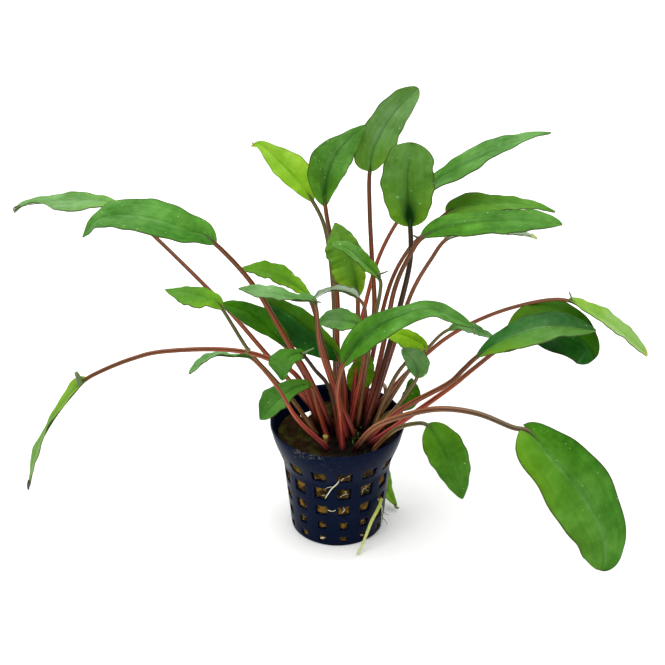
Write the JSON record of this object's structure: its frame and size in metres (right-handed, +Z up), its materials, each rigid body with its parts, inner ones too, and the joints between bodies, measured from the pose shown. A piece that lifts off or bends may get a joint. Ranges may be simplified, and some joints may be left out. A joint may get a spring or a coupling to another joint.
{
  "type": "potted aquarium plant",
  "caption": "Cryptocoryne with long arching stalks and oval green leaves, rooted in mineral wool in a flared, windowed net pot.",
  "frame": {"origin": "centre of the net pot's flat bottom, on the surface that it stands on", "axes": "+Z up, +X to the right and +Y away from the viewer in the reference view"},
  "size_m": [0.2616, 0.1358, 0.1734],
  "materials": {
    "pot_plastic": "dark navy, slightly worn",
    "mineral_wool": "damp fibres with green algae",
    "root": "smooth",
    "leaf_green": "satin leaf",
    "leaf_bright": "satin leaf",
    "leaf_dark": "satin leaf",
    "leaf_lime": "satin leaf",
    "leaf_pale": "greyish satin leaf"
  },
  "bodies": {
    "root": {"net_pot": "pot_plastic", "wool_plug": "mineral_wool", "runner_root": "root", "leaf_left_far": "leaf_green", "leaf_left_broad": "leaf_green", "leaf_left_drooping": "leaf_pale", "leaf_left_small": "leaf_bright", "leaf_left_low": "leaf_green", "leaf_left_bright": "leaf_bright", "leaf_left_wavy": "leaf_green", "leaf_left_pale": "leaf_pale", "leaf_left_dark": "leaf_dark", "leaf_left_nodding": "leaf_green", "leaf_front_left": "leaf_green", "leaf_top_yellow": "leaf_lime", "leaf_top_left": "leaf_green", "leaf_top_tall": "leaf_green", "leaf_top_oval": "leaf_green", "leaf_top_right": "leaf_green", "leaf_middle_upright": "leaf_green", "leaf_middle_twisted": "leaf_green", "leaf_middle_arching": "leaf_pale", "leaf_middle_grey": "leaf_green", "leaf_middle_broad": "leaf_green", "leaf_middle_bright": "leaf_bright", "leaf_right_upper": "leaf_green", "leaf_right_long": "leaf_green", "leaf_right_hidden": "leaf_pale", "leaf_right_yellow": "leaf_lime", "leaf_right_narrow": "leaf_green", "leaf_right_broad": "leaf_dark", "leaf_right_dark": "leaf_dark", "leaf_right_arching": "leaf_lime", "leaf_right_grey": "leaf_pale", "leaf_right_small": "leaf_green", "leaf_front_big": "leaf_green", "leaf_front_small": "leaf_green", "leaf_pot_side": "leaf_lime"}
  },
  "joints": []
}
